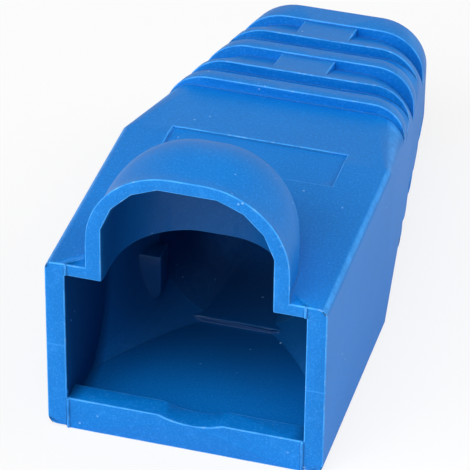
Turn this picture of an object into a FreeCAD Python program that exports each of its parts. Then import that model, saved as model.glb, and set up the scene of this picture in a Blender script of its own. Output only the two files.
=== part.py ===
# Strain relief boot for an RJ45 plug: one soft PVC moulding with a latch hood,
# a plug socket at the front and a ribbed, tapered tail round the cable.
#
# Frame: millimetres, +Z up, +Y from the plug mouth towards the cable, X across.
# The origin is under the middle of the boot, on the face it lies on.
import FreeCAD, Part
import math
import os
import Sketcher

# ---------------------------------------------------------------- sizes (mm)
SIZES = {
    # shell
    "body_width": 14.0,        # across the mouth
    "body_height": 9.87,       # bottom face to top face
    "sole_height": 0.12,       # flat sole under the straight part, between the side walls
    "body_length": 12.4,       # straight part behind the mouth
    "boot_length": 29.2,       # mouth to tail end
    "edge_round": 0.45,        # long outer edges of the straight part
    "side_wall": 1.0,
    "roof_wall": 0.65,
    "floor_wall": 0.77,
    "flash_width": 0.12,       # thin flash left by the mould core on the mouth face
    "flash_reach": 0.07,
    # plug socket
    "lip_height": 1.84,        # bar under the mouth, above the bottom face
    "lip_depth": 1.2,
    "scallop_width": 3.2,      # shallow dip in that bar
    "scallop_depth": 0.32,
    "scallop_shift": 0.3,
    "floor_end": 9.35,         # socket floor, behind the mouth
    "channel_floor": 1.07,     # floor of the throat, above the bottom face
    "throat_radius": 4.28,     # round opening behind the plug
    "throat_start": 9.8,       # behind the mouth
    "shoulder_rise": 0.52,     # growth of the shoulder cone per mm forward
    "nub_radius": 0.74,        # upright nubs on the shoulder that stop the plug
    "nub_reach": 4.53,         # from the middle plane to their middle
    "nub_place": 8.5,          # their front, behind the mouth
    "nub_low": 2.1,
    "nub_height": 2.8,
    "cable_radius": 2.9,
    "cable_height": 4.2,       # cable axis above the bottom face, at the tail end
    "bore_length": 5.0,        # straight bore at the tail end
    # latch hood
    "hood_width": 10.1,
    "hood_shift": 0.1,         # the hood sits this far off the middle plane
    "hood_height": 5.86,       # above the top face
    "hood_round": 4.3,         # corner of the arch at the mouth
    "hood_length": 6.3,
    "hood_draft": 0.7,         # each side draws in this much towards the back
    "hood_back_round": 3.7,    # rear edge of the hood
    "hood_wall": 0.8,          # sides
    "hood_roof": 0.7,          # over the top
    "hood_pocket": 5.43,       # depth of the hollow from the mouth
    "pocket_round": 3.4,       # its rear corners, seen from above
    "pocket_draft": 0.25,      # each of its sides draws in this much
    # label recess in the top face
    "recess_width": 9.1,
    "recess_front": 10.1,
    "recess_back": 13.17,
    "recess_depth": 0.2,
    # tail
    "neck_drop": 0.6,          # neck lies this much inside the first rib
    "neck_round": 1.6,         # corner of the neck at the first rib
    "rib_start": 17.92,
    "rib_pitch": 2.34,
    "rib_thick": 0.98,
    "rib_width": 12.75,        # across the first rib
    "rib_round": 1.75,         # corner of the first rib
    "rib_round_left": 2.2,     # its top left corner, which is rounder
    "tail_width": 10.0,
    "tail_height": 8.15,
    "tail_round": 2.55,        # corner of the tail end
    "tail_round_left": 2.9,
    "rib_wall": 0.6,           # height of each rib's front wall
    "groove_round": 2.1,       # corner of the floor of the first and third groove
    "saw_round": 3.0,          # the same for the second and fourth, which are saw teeth
    "bridge_width": 2.9,       # part of the saw teeth that is nearly filled in
    "bridge_drop": 0.15,
    "saw_front_round": 2.0,    # corner of a saw tooth at its front edge
    "side_margin": 0.03,       # the grooves stop this far outside the tail's sides
    "end_round": 0.25,          # rim of the tail end
}
NAME = "boot"


def make_sheet(doc):
    sheet = doc.addObject("Spreadsheet::Sheet", "dims")
    for row, (alias, value) in enumerate(SIZES.items(), start=1):
        sheet.set("A%d" % row, alias.replace("_", " "))
        sheet.set("B%d" % row, str(value))
        sheet.setAlias("B%d" % row, alias)
    doc.recompute()
    return sheet


# ------------------------------------------------------------ sketch helpers
def origin_plane(body, role):
    for feature in body.Origin.OriginFeatures:
        if feature.Role == role:
            return feature
    raise RuntimeError("no plane " + role)


MOUTH = "(dims.boot_length - dims.flash_reach) / 2"   # from the origin to the mouth face


def section(body, name, back="0"):
    """A sketch across the boot (x right, y up), a distance behind the mouth."""
    sk = body.newObject("Sketcher::SketchObject", name)
    sk.AttachmentSupport = [(origin_plane(body, "XZ_Plane"), "")]
    sk.MapMode = "FlatFace"
    sk.setExpression("AttachmentOffset.Base.z", "%s - (%s)" % (MOUTH, back))
    return sk


def profile(body, name, height):
    """A sketch along the middle plane (x backwards from the mouth, y up from a height)."""
    sk = body.newObject("Sketcher::SketchObject", name)
    sk.AttachmentSupport = [(origin_plane(body, "YZ_Plane"), "")]
    sk.MapMode = "FlatFace"
    sk.setExpression("AttachmentOffset.Base.x", "-%s" % MOUTH)
    sk.setExpression("AttachmentOffset.Base.y", height)
    return sk


def plan(body, name, height):
    """A sketch seen from above (x right, y backwards from the mouth) at a height."""
    sk = body.newObject("Sketcher::SketchObject", name)
    sk.AttachmentSupport = [(origin_plane(body, "XY_Plane"), "")]
    sk.MapMode = "FlatFace"
    sk.setExpression("AttachmentOffset.Base.y", "-%s" % MOUTH)
    sk.setExpression("AttachmentOffset.Base.z", height)
    return sk


def bind(sk, name, *args):
    """Add a dimension and tie it to an expression on the sheet."""
    expression = args[-1]
    index = sk.addConstraint(Sketcher.Constraint(*args[:-1]))
    sk.renameConstraint(index, name)
    sk.setExpression("Constraints." + name, expression)


def vec(x, y):
    return FreeCAD.Vector(x, y, 0)


def close_loop(sk, first, count):
    for k in range(count):
        a, b = first + k, first + (k + 1) % count
        sk.addConstraint(Sketcher.Constraint("Coincident", a, 2, b, 1))


def box_loop(sk, tag, at, left, low, right, high):
    """Axis-aligned rectangle; the four sides are dimension expressions from the origin."""
    x0, y0, x1, y1 = at
    first = sk.GeometryCount
    pts = [vec(x0, y0), vec(x1, y0), vec(x1, y1), vec(x0, y1)]
    for k in range(4):
        sk.addGeometry(Part.LineSegment(pts[k], pts[(k + 1) % 4]), False)
    close_loop(sk, first, 4)
    for k, kind in enumerate(("Horizontal", "Vertical", "Horizontal", "Vertical")):
        sk.addConstraint(Sketcher.Constraint(kind, first + k))
    bind(sk, tag + "_left", "DistanceX", -1, 1, first, 1, x0, left)
    bind(sk, tag + "_low", "DistanceY", -1, 1, first, 1, y0, low)
    bind(sk, tag + "_right", "DistanceX", -1, 1, first + 1, 2, x1, right)
    bind(sk, tag + "_high", "DistanceY", -1, 1, first + 1, 2, y1, high)
    return first


def round_box(sk, half, low, high, radius, at, left=None):
    """Rectangle with round corners, symmetric about the sketch's y axis. The corners are
    equal, unless left gives the top left one a radius of its own, as text and number."""
    w, z0, z1, r = at
    text, rl = left or (radius, r)
    first = sk.GeometryCount
    q = math.pi / 2
    sides = [(vec(-w + r, z0), vec(w - r, z0)), (vec(w, z0 + r), vec(w, z1 - r)),
             (vec(w - r, z1), vec(-w + rl, z1)), (vec(-w, z1 - rl), vec(-w, z0 + r))]
    arcs = [(vec(w - r, z0 + r), -q, r), (vec(w - r, z1 - r), 0, r),
            (vec(-w + rl, z1 - rl), q, rl), (vec(-w + r, z0 + r), 2 * q, r)]
    for (a, b), (centre, start, size) in zip(sides, arcs):
        sk.addGeometry(Part.LineSegment(a, b), False)
        circle = Part.Circle(centre, FreeCAD.Vector(0, 0, 1), size)
        sk.addGeometry(Part.ArcOfCircle(circle, start, start + q), False)
    for k in range(4):
        line, arc, after = first + 2 * k, first + 2 * k + 1, first + (2 * k + 2) % 8
        sk.addConstraint(Sketcher.Constraint("Tangent", line, 2, arc, 1))
        sk.addConstraint(Sketcher.Constraint("Tangent", arc, 2, after, 1))
        sk.addConstraint(Sketcher.Constraint("Vertical" if k % 2 else "Horizontal", line))
        if k in (1, 3):
            sk.addConstraint(Sketcher.Constraint("Equal", first + 1, arc))
    bind(sk, "radius", "Radius", first + 1, r, radius)
    bind(sk, "radius_left", "Radius", first + 5, rl, text)
    bind(sk, "right", "DistanceX", -1, 1, first + 2, 1, w, half)
    bind(sk, "left", "DistanceX", first + 6, 1, -1, 1, w, half)
    bind(sk, "low", "DistanceY", -1, 1, first, 1, z0, low)
    bind(sk, "high", "DistanceY", -1, 1, first + 4, 1, z1, high)


# -------------------------------------------------------- sizes along the tail
def along(front, back, place):
    """Value that runs straight from the first rib to the tail end."""
    return ("(%s + (%s - %s) * (%s - dims.rib_start)"
            " / (dims.boot_length - dims.end_round - dims.rib_start))"
            % (front, back, front, place))


def half_width(place):
    return along("dims.rib_width", "dims.tail_width", place) + " / 2"


def top_height(place):
    return along("dims.body_height", "dims.tail_height", place)


def number(place):
    """Half width and height there as plain numbers, to lay a sketch out near its place."""
    s = SIZES
    u = (place - s["rib_start"]) / (s["boot_length"] - s["end_round"] - s["rib_start"])
    half = (s["rib_width"] + u * (s["tail_width"] - s["rib_width"])) / 2
    return half, s["body_height"] + u * (s["tail_height"] - s["body_height"])


# ------------------------------------------------------------------- features
def pad(body, name, sk, length, reverse):
    feature = body.newObject("PartDesign::Pad", name)
    feature.Profile = sk
    feature.setExpression("Length", length)
    feature.Reversed = reverse
    return feature


def pocket(body, name, sk, length, reverse):
    feature = body.newObject("PartDesign::Pocket", name)
    feature.Profile = sk
    feature.setExpression("Length", length)
    feature.Reversed = reverse
    return feature


def loft(body, name, kind, front, back):
    feature = body.newObject("PartDesign::" + kind, name)
    feature.Profile = front
    feature.Sections = [back]
    feature.Ruled = True
    return feature


def shell_outline(body, name, back):
    """Outer section of the straight part, above the sole."""
    s = SIZES
    sk = section(body, name, back)
    round_box(sk, "dims.body_width / 2", "dims.sole_height", "dims.body_height",
              "dims.edge_round",
              (s["body_width"] / 2, s["sole_height"], s["body_height"], s["edge_round"]))
    return sk


def straight_part(body):
    s = SIZES
    pad(body, "StraightPart", shell_outline(body, "MouthOutline", "0"), "dims.body_length", True)
    half = s["body_width"] / 2 - s["side_wall"]
    wide = "(dims.body_width / 2 - dims.side_wall)"
    block(body, "Sole", "0", "dims.body_length", "-" + wide, "0", wide, "dims.floor_wall",
          (-half, 0, half, s["floor_wall"]))


def neck(body):
    """Smooth part that narrows from the straight part to the first rib."""
    s = SIZES
    front = shell_outline(body, "NeckFront", "dims.body_length")
    back = section(body, "NeckBack", "dims.rib_start")
    round_box(back, "dims.rib_width / 2", "dims.neck_drop",
              "dims.body_height - dims.neck_drop", "dims.neck_round",
              (s["rib_width"] / 2, s["neck_drop"], s["body_height"] - s["neck_drop"],
               s["neck_round"]))
    loft(body, "Neck", "AdditiveLoft", front, back)


def ribbed_tail(body):
    """Envelope of the ribs, cut into ribs by the grooves below; its rim is rounded over."""
    s = SIZES
    front = section(body, "TailFront", "dims.rib_start")
    round_box(front, "dims.rib_width / 2", "0", "dims.body_height", "dims.rib_round",
              (s["rib_width"] / 2, 0, s["body_height"], s["rib_round"]),
              ("dims.rib_round_left", s["rib_round_left"]))
    sections = []
    for k, turn in enumerate((0, 45, 90)):
        before = "(dims.end_round * %.6f)" % (1 - math.sin(math.radians(turn)))
        inset = "dims.end_round * %.6f" % (1 - math.cos(math.radians(turn)))
        at = s["end_round"] * (1 - math.cos(math.radians(turn)))
        back = section(body, "TailBack%d" % k, "dims.boot_length - %s" % before)
        round_box(back, "dims.tail_width / 2 - " + inset, inset,
                  "dims.tail_height - " + inset, "dims.tail_round - " + inset,
                  (s["tail_width"] / 2 - at, at, s["tail_height"] - at, s["tail_round"] - at),
                  ("dims.tail_round_left - " + inset, s["tail_round_left"] - at))
        sections.append(back)
    form = body.newObject("PartDesign::AdditiveLoft", "RibbedTail")
    form.Profile = front
    form.Sections = sections
    form.Ruled = True


def collar(body, name, place, half, low, high, radius, at):
    """A sketch that holds everything outside a rounded box: what a groove takes away."""
    sk = section(body, name, place)
    round_box(sk, half, low, high, radius, at)
    out = SIZES["rib_width"]
    box_loop(sk, "out", (-out, -out, out, 2 * out), "-dims.rib_width", "-dims.rib_width",
             "dims.rib_width", "2 * dims.rib_width")
    return sk


def rib_place(index):
    """Front face of a rib, behind the mouth: as an expression and as a number."""
    return ("(dims.rib_start + %d * dims.rib_pitch)" % index,
            SIZES["rib_start"] + index * SIZES["rib_pitch"])


def groove(body, index):
    """A groove with two upright walls behind a rib, which fades out on the sides."""
    s = SIZES
    rear, at_rear = rib_place(index + 1)
    front = "(dims.rib_start + dims.rib_thick + %d * dims.rib_pitch)" % index
    half = number(s["rib_start"] + s["rib_thick"] + index * s["rib_pitch"])[0]
    sk = collar(body, "Groove%dSection" % (index + 1), front,
                half_width(front) + " + dims.side_margin", "dims.rib_wall",
                top_height(rear) + " - dims.rib_wall", "dims.groove_round",
                (half + s["side_margin"], s["rib_wall"], number(at_rear)[1] - s["rib_wall"],
                 s["groove_round"]))
    pocket(body, "Groove%d" % (index + 1), sk, "dims.rib_pitch - dims.rib_thick", False)


def saw_tooth(body, index):
    """A slope that runs down from a rib's front edge to the foot of the next rib."""
    s = SIZES
    first, at_first = rib_place(index)
    rear, at_rear = rib_place(index + 1)
    half, high = number(at_first)
    m = s["side_margin"]
    front = collar(body, "Tooth%dFront" % (index + 1), first,
                   half_width(first) + " + dims.side_margin", "-dims.side_margin",
                   top_height(first) + " + dims.side_margin", "dims.saw_front_round",
                   (half + m, -m, high + m, s["saw_front_round"]))
    back = collar(body, "Tooth%dBack" % (index + 1), rear,
                  half_width(rear) + " + dims.side_margin", "dims.rib_wall",
                  top_height(rear) + " - dims.rib_wall", "dims.saw_round",
                  (number(at_rear)[0] + m, s["rib_wall"], number(at_rear)[1] - s["rib_wall"],
                   s["saw_round"]))
    loft(body, "Tooth%d" % (index + 1), "SubtractiveLoft", front, back)


def bridge(body, index, under):
    """Nearly fills the middle of a saw tooth, above or below."""
    s = SIZES
    half = s["bridge_width"] / 2
    wide = "dims.bridge_width / 2"
    name = ("Under" if under else "Top") + "Bridge%d" % (index + 1)
    sections = []
    for k in (0, 1):
        place, at = rib_place(index + k)
        drop, drop_at = ("dims.bridge_drop", s["bridge_drop"]) if k else ("dims.side_margin",
                                                                          s["side_margin"])
        thick, thick_at = "dims.neck_drop * 2", s["neck_drop"] * 2
        sk = section(body, name + "AB"[k], place)
        if under:
            box_loop(sk, "box", (-half, drop_at, half, thick_at), "-" + wide, drop, wide, thick)
        else:
            top = number(at)[1]
            box_loop(sk, "box", (-half, top - thick_at, half, top - drop_at), "-" + wide,
                     top_height(place) + " - " + thick, wide, top_height(place) + " - " + drop)
        sections.append(sk)
    loft(body, name, "AdditiveLoft", *sections)


# ---------------------------------------------------------------- latch hood
def arch(body, name, back, half, low, high, radius, at):
    """Straight legs under a top with two round corners, shifted off the middle plane."""
    w, z0, z1, r = at
    x = SIZES["hood_shift"]
    sk = section(body, name, back)
    q = math.pi / 2
    lines = [(vec(x - w, z0), vec(x + w, z0)), (vec(x + w, z0), vec(x + w, z1 - r)),
             (vec(x + w - r, z1), vec(x - w + r, z1)), (vec(x - w, z1 - r), vec(x - w, z0))]
    for a, b in lines:
        sk.addGeometry(Part.LineSegment(a, b), False)
    for k, side in enumerate((1, -1)):
        circle = Part.Circle(vec(x + side * (w - r), z1 - r), FreeCAD.Vector(0, 0, 1), r)
        sk.addGeometry(Part.ArcOfCircle(circle, k * q, (k + 1) * q), False)
    sk.addConstraint(Sketcher.Constraint("Coincident", 0, 2, 1, 1))
    sk.addConstraint(Sketcher.Constraint("Coincident", 3, 2, 0, 1))
    for line, end, arc, start in ((1, 2, 4, 1), (2, 1, 4, 2), (2, 2, 5, 1), (3, 1, 5, 2)):
        sk.addConstraint(Sketcher.Constraint("Tangent", line, end, arc, start))
    for line, kind in enumerate(("Horizontal", "Vertical", "Horizontal", "Vertical")):
        sk.addConstraint(Sketcher.Constraint(kind, line))
    sk.addConstraint(Sketcher.Constraint("Equal", 4, 5))
    bind(sk, "radius", "Radius", 4, r, radius)
    bind(sk, "left", "DistanceX", -1, 1, 0, 1, x - w, "dims.hood_shift - (%s)" % half)
    bind(sk, "right", "DistanceX", -1, 1, 0, 2, x + w, "dims.hood_shift + (%s)" % half)
    bind(sk, "low", "DistanceY", -1, 1, 0, 1, z0, low)
    bind(sk, "high", "DistanceY", -1, 1, 2, 1, z1, high)
    return sk


def apse(length, rounding, turns):
    """Stations along a form whose back is rounded like an apse: how far behind the mouth each
    lies, and how much narrower the section is there, as texts and as numbers."""
    yield "0", "0", 0
    for turn in turns:
        back = 1 - math.sin(math.radians(turn))
        inset = 1 - math.cos(math.radians(turn))
        yield ("%s - %s * %.6f" % (length, rounding, back), "%s * %.6f" % (rounding, inset),
               SIZES[rounding[5:]] * inset)


def hood(body):
    """Arched hood with drafted sides and a rounded back."""
    s = SIZES
    half, high = s["hood_width"] / 2, s["body_height"] + s["hood_height"]
    low = s["body_height"] - s["roof_wall"] / 2
    sections = []
    for k, (back, inset, at) in enumerate(apse("dims.hood_length", "dims.hood_back_round",
                                               (0, 28, 52, 70, 82))):
        draft = "(dims.hood_draft * (%s) / dims.hood_length)" % back
        sections.append(arch(body, "HoodArch%d" % k, back,
                             "dims.hood_width / 2 - %s - %s" % (draft, inset),
                             "dims.body_height - dims.roof_wall / 2",
                             "dims.body_height + dims.hood_height - %s" % inset,
                             "dims.hood_round - %s / 2 - %s" % (draft, inset),
                             (half - at, low, high - at, s["hood_round"] - at)))
    form = body.newObject("PartDesign::AdditiveLoft", "Hood")
    form.Profile = sections[0]
    form.Sections = sections[1:]
    return form


# ------------------------------------------------------------ hollow (mould core)
def block(body, name, front, back, left, low, right, high, at):
    """Straight block between two distances behind the mouth."""
    sk = section(body, name + "Section", front)
    box_loop(sk, "box", at, left, low, right, high)
    return pad(body, name, sk, "%s - (%s)" % (back, front), True)


def socket(core):
    """Plug socket with its raised front lip, up to the throat."""
    s = SIZES
    wide = s["body_width"] / 2 - s["side_wall"]
    roof = s["body_height"] - s["roof_wall"]
    inner = "dims.body_width / 2 - dims.side_wall"
    block(core, "SocketMouth", "0", "dims.throat_start", "-(%s)" % inner, "dims.lip_height",
          inner, "dims.body_height - dims.roof_wall", (-wide, s["lip_height"], wide, roof))
    block(core, "SocketFloor", "dims.lip_depth", "dims.floor_end", "-(%s)" % inner,
          "dims.floor_wall", inner, "dims.body_height / 2",
          (-wide, s["floor_wall"], wide, s["body_height"] / 2))
    block(core, "ThroatFloor", "dims.floor_end", "dims.throat_start", "-(%s)" % inner,
          "dims.channel_floor", inner, "dims.body_height / 2",
          (-wide, s["channel_floor"], wide, s["body_height"] / 2))


def shoulder(core):
    """Cone that rounds the back of the socket down to the throat."""
    s = SIZES
    reach = s["body_width"] / 2 - s["throat_radius"] + 1.5
    rise = reach
    run = rise / s["shoulder_rise"]
    sk = profile(core, "ShoulderProfile", "dims.body_height / 2")
    p = [vec(s["throat_start"], s["throat_radius"]),
         vec(s["throat_start"], s["throat_radius"] + rise),
         vec(s["throat_start"] - run, s["throat_radius"] + rise)]
    for k in range(3):
        sk.addGeometry(Part.LineSegment(p[k], p[(k + 1) % 3]), False)
    close_loop(sk, 0, 3)
    sk.addConstraint(Sketcher.Constraint("Vertical", 0))
    sk.addConstraint(Sketcher.Constraint("Horizontal", 1))
    bind(sk, "place", "DistanceX", -1, 1, 0, 1, p[0].x, "dims.throat_start")
    bind(sk, "radius", "DistanceY", -1, 1, 0, 1, p[0].y, "dims.throat_radius")
    bind(sk, "rise", "DistanceY", 0, 1, 0, 2, rise,
         "dims.body_width / 2 - dims.throat_radius + 1.5")
    bind(sk, "run", "DistanceX", 2, 1, 2, 2, run,
         "(dims.body_width / 2 - dims.throat_radius + 1.5) / dims.shoulder_rise")
    cut = core.newObject("PartDesign::Groove", "Shoulder")
    cut.Profile = sk
    cut.ReferenceAxis = (sk, ["H_Axis"])
    cut.Angle = 360
    return cut


def ring(body, name, place, height, radius, at):
    """A circle across the boot at a height on the middle plane, drawn as four equal arcs."""
    z, r = at
    sk = section(body, name, place)
    q = math.pi / 2
    for k in range(4):
        circle = Part.Circle(vec(0, z), FreeCAD.Vector(0, 0, 1), r)
        sk.addGeometry(Part.ArcOfCircle(circle, (k + 0.5) * q, (k + 1.5) * q), False)
    for k in range(4):
        sk.addConstraint(Sketcher.Constraint("Coincident", k, 2, (k + 1) % 4, 1))
        if k:
            sk.addConstraint(Sketcher.Constraint("Coincident", k, 3, 0, 3))
    sk.addConstraint(Sketcher.Constraint("PointOnObject", 0, 3, -2))
    for k, kind in enumerate(("Horizontal", "Vertical", "Horizontal")):
        sk.addConstraint(Sketcher.Constraint(kind, k, 1, k, 2))
    bind(sk, "height", "DistanceY", -1, 1, 0, 3, z, height)
    bind(sk, "radius", "Radius", 0, r, radius)
    bind(sk, "corner", "DistanceX", -1, 1, 0, 1, r / math.sqrt(2), "%s * 0.707107" % radius)
    return sk


def channel(core):
    """Cable way: a cone from the throat, then the straight bore out of the tail."""
    s = SIZES
    front = ring(core, "ThroatRing", "dims.throat_start", "dims.body_height / 2",
                 "dims.throat_radius", (s["body_height"] / 2, s["throat_radius"]))
    back = ring(core, "BoreRing", "dims.boot_length - dims.bore_length", "dims.cable_height",
                "dims.cable_radius", (s["cable_height"], s["cable_radius"]))
    loft(core, "Funnel", "AdditiveLoft", front, back)
    end = ring(core, "BoreSection", "dims.boot_length - dims.bore_length",
               "dims.cable_height", "dims.cable_radius", (s["cable_height"], s["cable_radius"]))
    pad(core, "Bore", end, "dims.bore_length + 1", True)
    sk = section(core, "ChannelFloorSection", "dims.floor_end")
    wide = s["body_width"] / 2
    box_loop(sk, "box", (-wide, -1, wide, s["channel_floor"]), "-dims.body_width / 2", "-1",
             "dims.body_width / 2", "dims.channel_floor")
    pocket(core, "ChannelFloor", sk, "dims.boot_length", False)


def scallop(core):
    """Shallow dip in the lip under the mouth."""
    s = SIZES
    half, deep, shift, lip = (s["scallop_width"] / 2, s["scallop_depth"], s["scallop_shift"],
                              s["lip_height"])
    radius = (half * half + deep * deep) / (2 * deep)
    swing = math.asin(half / radius)
    sk = section(core, "ScallopSection")
    circle = Part.Circle(vec(shift, lip - deep + radius), FreeCAD.Vector(0, 0, 1), radius)
    sk.addGeometry(Part.ArcOfCircle(circle, -math.pi / 2 - swing, -math.pi / 2 + swing), False)
    sk.addGeometry(Part.LineSegment(vec(shift + half, lip), vec(shift - half, lip)), False)
    close_loop(sk, 0, 2)
    sk.addConstraint(Sketcher.Constraint("Horizontal", 1))
    bind(sk, "right", "DistanceX", -1, 1, 1, 1, shift + half,
         "dims.scallop_shift + dims.scallop_width / 2")
    bind(sk, "width", "DistanceX", 1, 2, 1, 1, 2 * half, "dims.scallop_width")
    bind(sk, "height", "DistanceY", -1, 1, 1, 1, lip, "dims.lip_height")
    bind(sk, "radius", "Radius", 0, radius,
         "((dims.scallop_width / 2) ^ 2 + dims.scallop_depth ^ 2) / (2 * dims.scallop_depth)")
    pad(core, "Scallop", sk, "dims.lip_depth", True)


def nubs(core):
    """Two upright nubs with round feet on the shoulder, which stop the plug."""
    s = SIZES
    r, low, top = s["nub_radius"], s["nub_low"], s["nub_low"] + s["nub_height"]
    sk = section(core, "NubSection", "dims.nub_place")
    for side, tag, first in ((1, "right", 0), (-1, "left", 4)):
        x = side * s["nub_reach"]
        circle = Part.Circle(vec(x, low + r), FreeCAD.Vector(0, 0, 1), r)
        sk.addGeometry(Part.ArcOfCircle(circle, math.pi, 2 * math.pi), False)
        for a, b in (((x + r, low + r), (x + r, top)), ((x + r, top), (x - r, top)),
                     ((x - r, top), (x - r, low + r))):
            sk.addGeometry(Part.LineSegment(vec(*a), vec(*b)), False)
        sk.addConstraint(Sketcher.Constraint("Tangent", first, 2, first + 1, 1))
        sk.addConstraint(Sketcher.Constraint("Coincident", first + 1, 2, first + 2, 1))
        sk.addConstraint(Sketcher.Constraint("Coincident", first + 2, 2, first + 3, 1))
        sk.addConstraint(Sketcher.Constraint("Tangent", first + 3, 2, first, 1))
        sk.addConstraint(Sketcher.Constraint("Vertical", first + 1))
        sk.addConstraint(Sketcher.Constraint("Horizontal", first + 2))
        bind(sk, tag + "_r", "Radius", first, r, "dims.nub_radius")
        bind(sk, tag + "_x", "DistanceX", -1, 1, first, 3, x,
             "%sdims.nub_reach" % ("" if side > 0 else "-"))
        bind(sk, tag + "_y", "DistanceY", -1, 1, first, 3, low + r,
             "dims.nub_low + dims.nub_radius")
        bind(sk, tag + "_top", "DistanceY", -1, 1, first + 2, 1, top,
             "dims.nub_low + dims.nub_height")
    pocket(core, "Nubs", sk, "dims.throat_start - dims.nub_place", False)


def facet_arch(core, name, back, inset, at):
    """Section of the hood's hollow: legs through the roof, and a top with faceted corners."""
    s = SIZES
    y0 = s["hood_shift"]
    low = s["body_height"] - s["roof_wall"] - 1
    half = s["hood_width"] / 2 - s["hood_wall"] - at
    high = s["body_height"] + s["hood_height"] - s["hood_roof"] - at
    radius = s["hood_round"] - s["hood_wall"] - at
    half_text = ("(dims.hood_width / 2 - dims.hood_wall - dims.pocket_draft * (%s)"
                 " / dims.hood_pocket - %s)" % (back, inset))
    high_text = "dims.body_height + dims.hood_height - dims.hood_roof - %s" % inset
    radius_text = "(dims.hood_round - dims.hood_wall - %s)" % inset
    foot = "dims.body_height - dims.roof_wall - 1"
    corner = []                                   # from the leg up to the top
    for k in range(4):
        turn = (k + 0.5) * math.pi / 8
        across = 1 - math.cos(turn) / math.cos(math.pi / 16)
        down = 1 - math.sin(turn) / math.cos(math.pi / 16)
        corner.append((half - radius * across, high - radius * down,
                       "%s - %s * %.6f" % (half_text, radius_text, across),
                       "%s - %s * %.6f" % (high_text, radius_text, down)))
    right = [(half, low, half_text, foot)] + corner
    pts = [(y0 + x, y, "dims.hood_shift + (%s)" % across, up) for x, y, across, up in right]
    pts += [(y0 - x, y, "dims.hood_shift - (%s)" % across, up) for x, y, across, up in right[::-1]]
    sk = section(core, name, back)
    for k, (x, y, across, up) in enumerate(pts):
        after = pts[(k + 1) % len(pts)]
        sk.addGeometry(Part.LineSegment(vec(x, y), vec(after[0], after[1])), False)
    close_loop(sk, 0, len(pts))
    for k, (x, y, across, up) in enumerate(pts):
        bind(sk, "x%d" % k, "DistanceX", -1, 1, k, 1, x, across)
        bind(sk, "y%d" % k, "DistanceY", -1, 1, k, 1, y, up)
    return sk


def latch_hollow(core):
    """Room for the plug's latch, open to the socket below."""
    sections = [facet_arch(core, "HollowArch%d" % k, back, inset, at)
                for k, (back, inset, at) in enumerate(apse("dims.hood_pocket",
                                                           "dims.pocket_round",
                                                           (0, 30, 54, 72, 84)))]
    form = core.newObject("PartDesign::AdditiveLoft", "LatchHollow")
    form.Profile = sections[0]
    form.Sections = sections[1:]
    return form


def make_core(doc):
    core = doc.addObject("PartDesign::Body", "mould_core")
    socket(core)
    shoulder(core)
    channel(core)
    scallop(core)
    latch_hollow(core)
    nubs(core)
    return core


# ------------------------------------------------------------ outside details
def recess(body):
    """Flat label recess in the top face, left bare."""
    s = SIZES
    sk = plan(body, "RecessPlan", "dims.body_height + 1")
    box_loop(sk, "box", (-s["recess_width"] / 2, s["recess_front"], s["recess_width"] / 2,
                         s["recess_back"]),
             "-dims.recess_width / 2", "dims.recess_front", "dims.recess_width / 2",
             "dims.recess_back")
    pocket(body, "Recess", sk, "dims.recess_depth + 1", False)


def flash(body):
    """Thin upright flash where the core meets the mould, on the roof's and the lip's ends."""
    s = SIZES
    x = s["body_width"] / 2 - s["side_wall"]
    w = s["flash_width"]
    wall = "(dims.body_width / 2 - dims.side_wall)"
    for tag, low, high, low_at, high_at in (
            ("Roof", "dims.body_height - dims.roof_wall", "dims.body_height",
             s["body_height"] - s["roof_wall"], s["body_height"]),
            ("Lip", "0", "dims.lip_height", 0, s["lip_height"])):
        sk = section(body, tag + "FlashSection")
        box_loop(sk, "right", (x - w, low_at, x, high_at), wall + " - dims.flash_width", low,
                 wall, high)
        box_loop(sk, "left", (-x, low_at, -x + w, high_at), "-" + wall, low,
                 "-%s + dims.flash_width" % wall, high)
        pad(body, tag + "Flash", sk, "dims.flash_reach", False)


def build(doc):
    core = make_core(doc)
    body = doc.addObject("PartDesign::Body", NAME)
    body.Label = NAME
    straight_part(body)
    neck(body)
    ribbed_tail(body)
    for index in range(4):
        if index % 2 == 0:
            groove(body, index)
        else:
            saw_tooth(body, index)
            bridge(body, index, False)
            bridge(body, index, True)
    hood(body)
    doc.recompute()
    hollow = body.newObject("PartDesign::Boolean", "Hollow")
    hollow.Type = "Cut"
    hollow.setObjects([core])
    flash(body)
    recess(body)
    return body


def check(doc, shape):
    for item in doc.Objects:
        if "Invalid" in item.State or "Error" in item.State:
            raise RuntimeError("failed: %s %s" % (item.Name, item.State))
    if shape.isNull() or not shape.isValid() or len(shape.Solids) != 1:
        raise RuntimeError("the boot is not one valid solid")


def main():
    doc = FreeCAD.newDocument("rj45_boot")
    make_sheet(doc)
    body = build(doc)
    doc.recompute()
    check(doc, body.Shape)
    os.makedirs("parts", exist_ok=True)
    body.Shape.exportStep("parts/%s.step" % NAME)
    box = body.Shape.BoundBox
    print("%s volume %.1f  x %.2f..%.2f  y %.2f..%.2f  z %.2f..%.2f"
          % (NAME, body.Shape.Volume, box.XMin, box.XMax, box.YMin, box.YMax, box.ZMin, box.ZMax))


main()
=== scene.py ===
import bmesh
import bpy
import math
from mathutils import Matrix, Vector, noise
from mathutils.bvhtree import BVHTree


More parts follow.
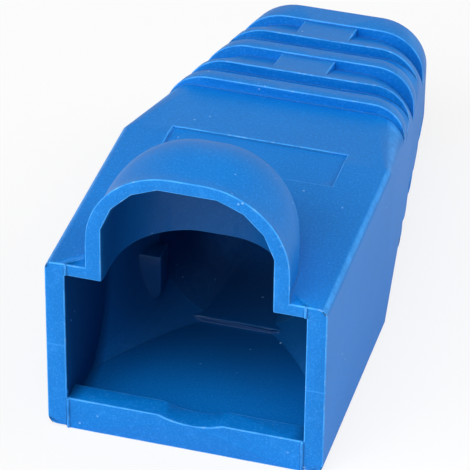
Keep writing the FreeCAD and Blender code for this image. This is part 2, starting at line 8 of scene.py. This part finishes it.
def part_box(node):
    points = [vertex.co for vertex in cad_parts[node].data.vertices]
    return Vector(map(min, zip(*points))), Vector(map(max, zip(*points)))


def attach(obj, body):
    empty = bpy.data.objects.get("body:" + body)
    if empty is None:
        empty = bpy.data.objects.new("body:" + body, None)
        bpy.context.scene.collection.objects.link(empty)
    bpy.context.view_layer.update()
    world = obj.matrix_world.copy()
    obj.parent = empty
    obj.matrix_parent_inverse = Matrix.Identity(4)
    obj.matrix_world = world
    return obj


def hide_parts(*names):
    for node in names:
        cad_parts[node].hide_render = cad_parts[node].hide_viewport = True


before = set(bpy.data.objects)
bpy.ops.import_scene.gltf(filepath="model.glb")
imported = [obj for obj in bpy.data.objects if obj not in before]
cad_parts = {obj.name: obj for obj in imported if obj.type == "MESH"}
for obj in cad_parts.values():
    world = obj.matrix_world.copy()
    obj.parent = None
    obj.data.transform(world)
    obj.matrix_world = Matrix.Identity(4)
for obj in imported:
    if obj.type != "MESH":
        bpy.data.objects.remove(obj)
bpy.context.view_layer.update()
scene = bpy.context.scene
MM = 0.001

# ---------------------------------------------------------------- the camera, in millimetres
EYE = Vector((37.83, -140.685, 105.19))
LOOKS_AT = Vector((2.45, -14.565, 13.30))
ROLL = 0.7           # degrees
LENS = 263.5813
SENSOR = 36


def make_camera():
    """A long lens, low over the mouth end and a little to its right."""
    ahead = (LOOKS_AT - EYE).normalized()
    level = ahead.cross(Vector((0, 0, 1))).normalized()
    roll = math.radians(ROLL)
    right = math.cos(roll) * level + math.sin(roll) * level.cross(ahead)
    data = bpy.data.cameras.new("camera")
    data.sensor_width = SENSOR
    data.lens = LENS
    data.clip_start = 10 * MM
    cam = bpy.data.objects.new("camera", data)
    scene.collection.objects.link(cam)
    cam.matrix_world = Matrix((right, right.cross(ahead), -ahead)).transposed().to_4x4()
    cam.matrix_world.translation = EYE * MM
    scene.camera = cam


# ---------------------------------------------------------------- the moulding, in millimetres
EDGE = 0.06          # width of the rounded edges
SHARP = 21.0         # faces that meet at more than this many degrees have an edge between them
FLAT = 0.6           # faces that meet at less than this many degrees are one face
STEP = 0.6           # length of an edge's pieces
UNEVEN = 0.008       # how far an edge strays from its line
WAVES = 1.3          # how often it does, per millimetre
SEED = 4             # of those waves, which otherwise start from the clock
WELD = 1e-4          # corners nearer than this are one
PROUD = 0.003        # a rounded edge stands at least this far off the sharp one

# The hollow that the mould core leaves: where each of its spaces lies and how far it reaches. A face of a
# round space is told by its turn, which is how far it looks at the axis, and a hood wall by its slope.
CORE_SIDE = 6.3
CHANNEL = dict(front=3.3, axis=4.2, reach=3.3, turn=0.3)
THROAT = dict(front=-4.7, axis=4.9, reach=4.5, turn=-0.05, low=0.5, high=9.4)
SOCKET = dict(front=-14.4, back=-4.6, low=0.5, high=9.3)
HOOD = dict(back=-8.0, side=5.3, low=9.95, slope=0.5, middle=Vector((0.1, -12.5, 10.5)))


def turned_to(way, spot, p):
    """How far a face at p, with its normal along way, looks at a spot."""
    return way.dot(spot - p)


def within(p, way):
    """True for a face at p that turns its normal into the hollow."""
    if p.y >= CHANNEL["front"]:
        near = math.hypot(p.x, p.z - CHANNEL["axis"]) < CHANNEL["reach"]
        return near and turned_to(way, Vector((0, p.y, CHANNEL["axis"])), p) > CHANNEL["turn"]
    beside = abs(p.x) < CORE_SIDE
    if p.y > THROAT["front"] and beside and THROAT["low"] < p.z < THROAT["high"]:
        near = math.hypot(p.x, p.z - THROAT["axis"]) < THROAT["reach"]
        return near or turned_to(way, Vector((0, p.y, THROAT["axis"])), p) > THROAT["turn"]
    if SOCKET["front"] < p.y < SOCKET["back"] and beside and SOCKET["low"] < p.z < SOCKET["high"]:
        return True
    hood = p.y < HOOD["back"] and abs(p.x) < HOOD["side"]
    wall = p.z > HOOD["low"] or abs(way.z) < HOOD["slope"]
    return hood and wall and turned_to(way, HOOD["middle"], p) > 0


def sharp_edges(bm):
    return [e for e in bm.edges if e.calc_face_angle(0) > math.radians(SHARP)]


def split_polygons(bm):
    """Triangulate the faces with more than four corners, which a bevel would bend."""
    bmesh.ops.triangulate(bm, faces=[f for f in bm.faces if len(f.verts) > 4])


def uneven_edges(bm):
    """Cut the sharp edges into short pieces, move their ends a little, and return them."""
    for e in sharp_edges(bm):
        cuts = int(e.calc_length() // STEP)
        if cuts:
            bmesh.ops.subdivide_edges(bm, edges=[e], cuts=cuts)
    split_polygons(bm)
    edges = sharp_edges(bm)
    ends = {v for e in edges for v in e.verts}
    noise.seed_set(SEED)
    for v in bm.verts:
        if v in ends:
            v.co += noise.noise_vector(v.co * WAVES) * UNEVEN
    return edges


def sort_faces(bm):
    """List the faces by their corners, because the bevel makes them in another order each time."""
    bm.verts.index_update()
    base = len(bm.verts)

    def place(f):
        a, b, c = sorted(v.index for v in f.verts)[:3]
        return (a * base + b) * base + c

    bm.faces.sort(key=place)


def moulded_shell(node):
    """A copy of the CAD mesh whose edges are rounded and a little uneven, as a mould leaves them.

    Its faces carry inner, 1 in the core's hollow, and rim, 1 on a rounded crest and -1 in a rounded dip;
    the material paints shade by inner and in dips, and highlight on crests.
    """
    bm = bmesh.new()
    bm.from_mesh(node.data)
    rim = bm.faces.layers.float.new("rim")
    inner = bm.faces.layers.float.new("inner")
    bmesh.ops.scale(bm, vec=(1 / MM,) * 3, verts=bm.verts)
    cad = BVHTree.FromBMesh(bm)
    low, high = (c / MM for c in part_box("boot"))
    bmesh.ops.remove_doubles(bm, verts=bm.verts, dist=WELD)
    bmesh.ops.dissolve_limit(bm, angle_limit=math.radians(FLAT), verts=bm.verts, edges=bm.edges)
    split_polygons(bm)
    edges = uneven_edges(bm)
    unrounded = BVHTree.FromBMesh(bm)
    made = bmesh.ops.bevel(bm, geom=edges, offset=EDGE, offset_type="OFFSET", segments=2, profile=0.5,
                           affect="EDGES", clamp_overlap=False, loop_slide=True)
    for f in made["faces"]:
        f[rim] = 1.0
    for v in bm.verts:
        spot, _, _, far = cad.find_nearest(v.co)
        if far > EDGE + UNEVEN:      # a spike, where rounded edges cross
            v.co = spot
        v.co = [min(max(c, a), b) for c, a, b in zip(v.co, low, high)]
    bmesh.ops.triangulate(bm, faces=bm.faces)
    sort_faces(bm)
    for f in bm.faces:
        f.smooth = True
        middle = f.calc_center_median()
        f[inner] = 1.0 if within(middle, f.normal) else 0.0
        if f[rim]:
            spot, way, _, _ = unrounded.find_nearest(middle)
            off = (middle - spot).dot(way)
            f[rim] = 0.0 if abs(off) < PROUD else -math.copysign(1.0, off)
    bmesh.ops.scale(bm, vec=(MM,) * 3, verts=bm.verts)
    mesh = bpy.data.meshes.new("boot_shell")
    bm.to_mesh(mesh)
    bm.free()
    shell = bpy.data.objects.new("boot_shell", mesh)
    scene.collection.objects.link(shell)
    even = shell.modifiers.new("even", "WEIGHTED_NORMAL")
    even.weight = 100
    even.keep_sharp = False
    return shell


class Nodes:
    """Short calls for building a node tree."""

    def __init__(self, mat):
        self.tree = mat.node_tree

    def new(self, kind, **settings):
        node = self.tree.nodes.new(kind)
        for name, value in settings.items():
            setattr(node, name, value)
        return node

    def put(self, node, name, value):
        """Set a socket, given by its name or number, to a value, or link it to another socket."""
        socket = node.inputs[name]
        if isinstance(value, bpy.types.NodeSocket):
            self.tree.links.new(value, socket)
        else:
            socket.default_value = value

    def add(self, kind, **inputs):
        node = self.new(kind)
        for name, value in inputs.items():
            self.put(node, name, value)
        return node

    def math(self, operation, *values):
        node = self.new("ShaderNodeMath", operation=operation)
        for k, value in enumerate(values):
            self.put(node, k, value)
        return node.outputs[0]

    def times(self, *factors):
        result = factors[0]
        for factor in factors[1:]:
            result = self.math("MULTIPLY", result, factor)
        return result

    def ramp(self, value, low, high, start=0.0, end=1.0):
        """A smooth step from start to end, where the value goes from low to high."""
        node = self.new("ShaderNodeMapRange", interpolation_type="SMOOTHSTEP")
        for k, v in enumerate((value, low, high, start, end)):
            self.put(node, k, v)
        return node.outputs[0]

    def span(self, value, low, high, start=0.0, end=1.0):
        """A ramp whose low and high are places in millimetres."""
        return self.ramp(value, low * MM, high * MM, start, end)

    def mix(self, factor, a, b):
        node = self.new("ShaderNodeMix", data_type="RGBA")
        for k, value in ((0, factor), (6, a), (7, b)):
            self.put(node, k, value)
        return node.outputs[2]

    def noise(self, place, scale, detail=2.0, rough=0.5):
        node = self.add("ShaderNodeTexNoise", Vector=place, Scale=scale, Detail=detail, Roughness=rough)
        return node.outputs["Fac"]

    def attribute(self, name):
        return self.new("ShaderNodeAttribute", attribute_name=name).outputs["Fac"]

    def axes(self, vector):
        return self.add("ShaderNodeSeparateXYZ", Vector=vector).outputs


# ---------------------------------------------------------------- the material
# A noise's scale is in waves per metre.
BLUE = (0.0, 0.195, 0.65, 1)
CLOUD = (0.0, 0.155, 0.54, 1)
PIT = (0.0, 0.12, 0.42, 1)
# CREST: painted highlight on rounded crests, long corners and the parting line; also the grain's lighter
# points and the mouth's scuffs
CREST = (0.06, 0.40, 1.0, 1)
# PALE: painted highlight dots on crests, and dust specks
PALE = (0.30, 0.58, 0.95, 1)
# painted shade, in rounded dips and in the hollow
PAINTED_SHADE = (0.0, 0.035, 0.14, 1)


def grained(n, place, grain):
    """The plastic's blue, with faint clouds and a fine grain of lighter and darker points."""
    color = n.mix(n.ramp(n.noise(place, 260, 3), 0.3, 0.7, 0.0, 0.25), BLUE, CLOUD)
    color = n.mix(n.ramp(grain, 0.50, 0.78, 0.0, 0.36), color, CREST)
    return n.mix(n.ramp(grain, 0.50, 0.25, 0.0, 0.32), color, PIT)


def painted_edge_highlight_and_shade(n, color, place, at, facing):
    """Painted highlight on rounded crests, in patches of a paler blue with pale dots, painted shade in
    rounded dips, and a blotchy painted highlight along the long rounded corners of the body.
    """
    rim = n.attribute("rim")
    crest = n.math("MAXIMUM", rim, 0.0)
    dip = n.math("MAXIMUM", n.times(rim, -1.0), 0.0)
    patchy = n.ramp(n.noise(place, 1100, 3), 0.3, 0.6, 0.4, 0.9)
    dots = n.ramp(n.noise(place, 3000, 2), 0.58, 0.68, 0.0, 0.3)
    # painted highlight on the rounded crests, in patches and dots
    color = n.mix(n.times(crest, patchy), color, CREST)
    color = n.mix(n.times(crest, dots), color, PALE)
    # painted shade in the rounded dips
    color = n.mix(n.times(dip, 0.35), color, PAINTED_SHADE)
    # painted highlight, in blotches, along the long rounded corners below the hood and before the tail
    slant = n.ramp(n.math("ABSOLUTE", n.times(facing["X"], facing["Z"])), 0.34, 0.49)
    below_hood = n.span(at["Z"], 10.1, 9.9)
    corner_sheen_noise = n.ramp(n.noise(place, 1700, 4, 0.6), 0.3, 0.7, 0.25, 0.8)
    towards_tail = n.span(at["Y"], 3.0, 3.6, 1.0, 0.35)
    return n.mix(n.times(slant, below_hood, corner_sheen_noise, towards_tail), color, CREST)


def painted_core_shade(n, color, at, facing):
    """Painted shade in the hollow, darker behind the mouth, at its side walls and up in the hood."""
    # painted shade: deeper, nearer the side walls and higher in the hood is darker; floors, the right
    # side and the back channel get less
    back = n.span(at["Y"], -13.2, -5.4, 0.0, 0.96)
    walls = n.span(n.math("ABSOLUTE", at["X"]), 5.2, 6.0, 0.0, 0.88)
    hood = n.span(at["Z"], 8.8, 9.3, 0.0, 0.68)
    dark = n.math("MAXIMUM", n.math("MAXIMUM", back, walls), hood)
    channel = n.span(at["Y"], -2.0, 3.0, 1.0, 0.2)
    floor = n.ramp(facing["Z"], 0.4, 0.8, 1.0, 0.86)
    right = n.span(at["X"], 0.0, 5.5, 1.0, 0.86)
    return n.mix(n.times(n.attribute("inner"), channel, floor, right, dark), color, PAINTED_SHADE)


def mouth_face(n, color, place, at):
    """Faint scuffs all over the mouth's face, and a painted highlight line where the mould's parting line
    crosses its side walls.
    """
    front = n.span(at["Y"], -14.4, -14.45)
    scuffs = n.ramp(n.noise(place, 1900, 4, 0.7), 0.50, 0.68, 0.0, 0.12)
    color = n.mix(n.times(front, scuffs), color, CREST)
    # painted highlight: a faint light line where the mould's parting line crosses the side walls
    line = n.span(n.math("ABSOLUTE", n.math("SUBTRACT", at["Z"], 5.0 * MM)), 0.07, 0.02)
    side = n.span(n.math("ABSOLUTE", at["X"]), 5.9, 6.0)
    return n.mix(n.times(line, front, side, 0.3), color, CREST)


def dust(n, color, place):
    cells = n.add("ShaderNodeTexVoronoi", Vector=place, Scale=1500.0, Randomness=1.0)
    speck = n.ramp(cells.outputs["Distance"], 0.11, 0.05)
    sparse = n.ramp(n.noise(place, 420, 1), 0.57, 0.63, 0.0, 0.7)
    return n.mix(n.times(speck, sparse), color, PALE)


def soft_pvc():
    """Satin PVC, coloured through, with painted highlights on its edges and painted shade in its dips and
    hollow.
    """
    mat = bpy.data.materials.new("soft_pvc")
    mat.use_nodes = True
    n = Nodes(mat)
    place = n.new("ShaderNodeTexCoord").outputs["Object"]
    at = n.axes(place)
    facing = n.axes(n.new("ShaderNodeNewGeometry").outputs["True Normal"])
    grain = n.noise(place, 9000, 2, 0.7)
    color = grained(n, place, grain)
    color = painted_edge_highlight_and_shade(n, color, place, at, facing)
    color = painted_core_shade(n, color, at, facing)
    color = mouth_face(n, color, place, at)
    color = dust(n, color, place)
    height = n.math("ADD", n.times(grain, 0.6), n.noise(place, 1500, 2))
    bump = n.add("ShaderNodeBump", Height=height, Strength=0.25, Distance=0.03 * MM)
    shader = mat.node_tree.nodes["Principled BSDF"]
    shader.inputs["Specular IOR Level"].default_value = 0.22
    n.put(shader, "Base Color", color)
    n.put(shader, "Roughness", n.math("ADD", n.times(grain, 0.12), 0.40))
    n.put(shader, "Normal", bump.outputs["Normal"])
    return mat


# ---------------------------------------------------------------- the studio
LAMP_FAR = 300       # millimetres from the lamps to the object
LAMP_SIZE = 200
LAMP_AIM = 6         # height that they are aimed at
TABLE = 1500         # half its width
TABLE_DROP = 0.02    # its top lies this far under the object, so that no two faces share a plane


def lamp(name, turn, rise, level):
    """A square softbox; level 1 lights a face turned to it to its own colour."""
    data = bpy.data.lights.new(name, "AREA")
    data.size = LAMP_SIZE * MM
    data.energy = (math.pi * LAMP_FAR * MM) ** 2 * level
    a, e = math.radians(turn), math.radians(rise)
    way = Vector((math.sin(a) * math.cos(e), -math.cos(a) * math.cos(e), math.sin(e)))
    box = bpy.data.objects.new(name, data)
    box.location = way * LAMP_FAR * MM + Vector((0, 0, LAMP_AIM * MM))
    box.rotation_euler = (-way).to_track_quat("-Z", "Y").to_euler()
    scene.collection.objects.link(box)


def table():
    """A white table, which the camera sees a little lighter than it is lit."""
    mesh = bpy.data.meshes.new("floor")
    s, d = TABLE * MM, TABLE_DROP * MM
    mesh.from_pydata([(-s, -s, -d), (s, -s, -d), (s, s, -d), (-s, s, -d)], [], [(0, 1, 2, 3)])
    floor = bpy.data.objects.new("floor", mesh)
    scene.collection.objects.link(floor)
    mat = bpy.data.materials.new("floor")
    mat.use_nodes = True
    n = Nodes(mat)
    lit = mat.node_tree.nodes["Principled BSDF"]
    lit.inputs["Base Color"].default_value = (0.96, 0.96, 0.96, 1)
    lit.inputs["Roughness"].default_value = 0.9
    lit.inputs["Specular IOR Level"].default_value = 0.1
    path = n.new("ShaderNodeLightPath")
    white = n.add("ShaderNodeEmission", Strength=1.0)
    both = n.new("ShaderNodeMixShader")
    n.put(both, 0, n.times(path.outputs["Is Camera Ray"], 0.8))
    n.put(both, 1, lit.outputs["BSDF"])
    n.put(both, 2, white.outputs["Emission"])
    n.put(mat.node_tree.nodes["Material Output"], "Surface", both.outputs["Shader"])
    mesh.materials.append(mat)


def surround():
    """A white surround that is seen and mirrored in full, but lights the scene by a tenth only."""
    world = bpy.data.worlds.new("world")
    scene.world = world
    world.use_nodes = True
    n = Nodes(world)
    path = n.new("ShaderNodeLightPath")
    seen = n.math("MAXIMUM", path.outputs["Is Camera Ray"], path.outputs["Is Glossy Ray"])
    seen = n.math("MAXIMUM", seen, path.outputs["Is Transmission Ray"])
    back = world.node_tree.nodes["Background"]
    n.put(back, "Color", (1, 1, 1, 1))
    n.put(back, "Strength", n.math("ADD", n.times(seen, 0.9), 0.1))


make_camera()
table()
surround()
lamp("key", turn=-45, rise=32, level=0.44)
lamp("front", turn=-10, rise=22, level=0.29)
lamp("high", turn=0, rise=60, level=0.42)
lamp("side", turn=105, rise=36, level=0.48)
shell = moulded_shell(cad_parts["boot"])
shell.data.materials.append(soft_pvc())
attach(shell, "root")
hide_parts("boot")
scene.view_settings.view_transform = "Standard"
